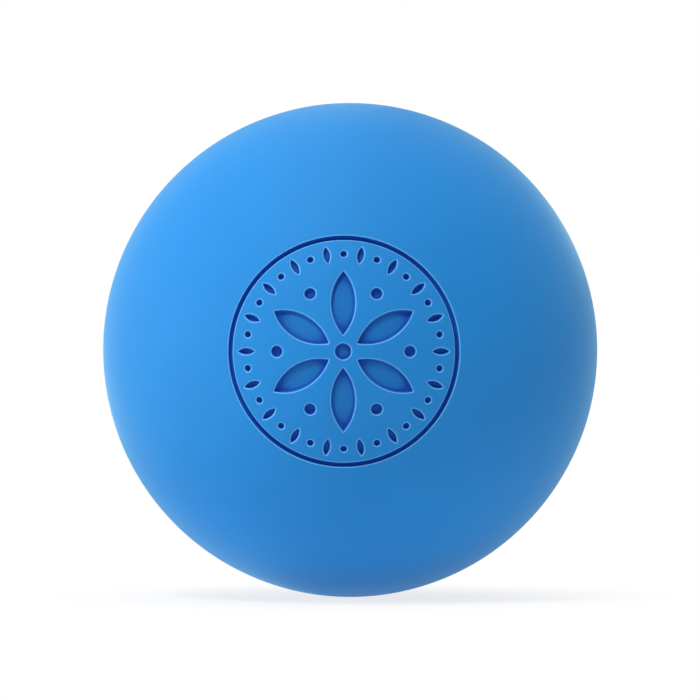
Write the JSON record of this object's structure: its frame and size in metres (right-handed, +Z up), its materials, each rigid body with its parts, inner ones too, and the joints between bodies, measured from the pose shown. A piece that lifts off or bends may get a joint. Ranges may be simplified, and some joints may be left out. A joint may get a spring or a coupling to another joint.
{
  "type": "lacrosse ball",
  "caption": "Solid rubber lacrosse ball: a moulded core in a blue two-part cover, with a faint parting line and a round emblem of a ring, petals and beads sunk in the front.",
  "frame": {"origin": "centre of the ball", "axes": "+Z up; the middle of the sunk emblem faces -Y, and the parting line of the two cover halves lies in the XZ plane"},
  "size_m": [0.0632, 0.063, 0.0632],
  "materials": {
    "cover_rubber": "matte",
    "core_rubber": "matte"
  },
  "bodies": {
    "root": {"core": "core_rubber", "front_cover": "cover_rubber", "rear_cover": "cover_rubber"}
  },
  "joints": []
}
